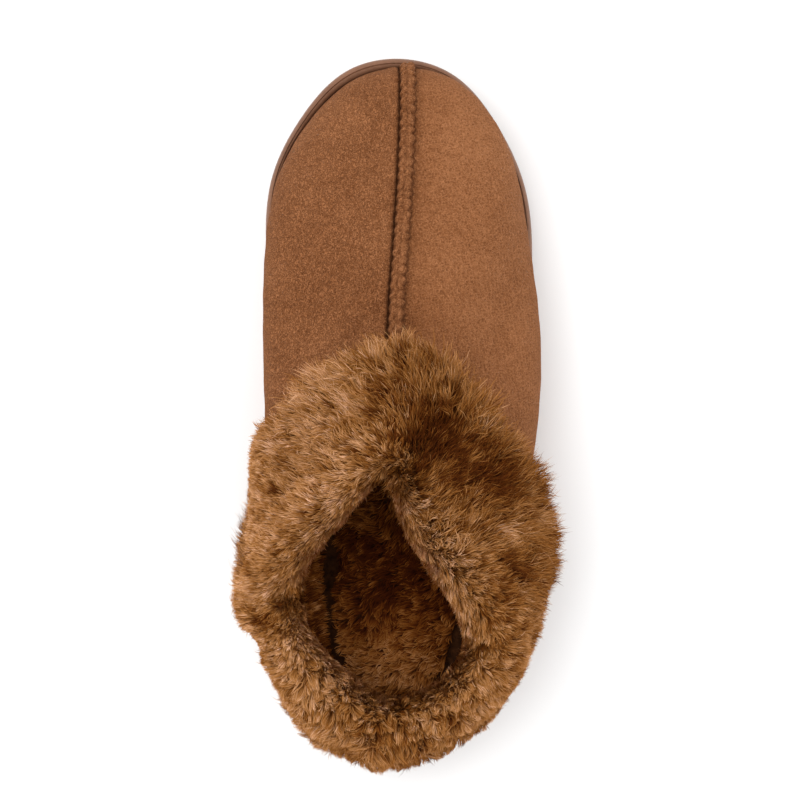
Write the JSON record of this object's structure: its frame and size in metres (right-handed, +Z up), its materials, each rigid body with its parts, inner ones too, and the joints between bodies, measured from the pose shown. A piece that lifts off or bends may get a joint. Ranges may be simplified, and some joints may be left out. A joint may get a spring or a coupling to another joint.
{
  "type": "clog slipper",
  "caption": "Soft house clog for the right foot: suede vamp with a raised centre seam, deep fur cuff round the opening, fleecy insole and a moulded rubber sole.",
  "frame": {"origin": "middle of the shoe's box, on the floor that its sole stands on", "axes": "+Z up, +Y towards the toe, +X to the wearer's right"},
  "size_m": [0.1184, 0.2674, 0.089],
  "materials": {
    "rubber": "satin moulded rubber",
    "fleece": "short fleece pile",
    "suede": "brushed suede nap",
    "fur": "long soft pile"
  },
  "bodies": {
    "root": {"outsole": "rubber", "insole": "fleece", "upper": "suede", "vamp_seam": "suede", "cuff": "fur"}
  },
  "joints": []
}
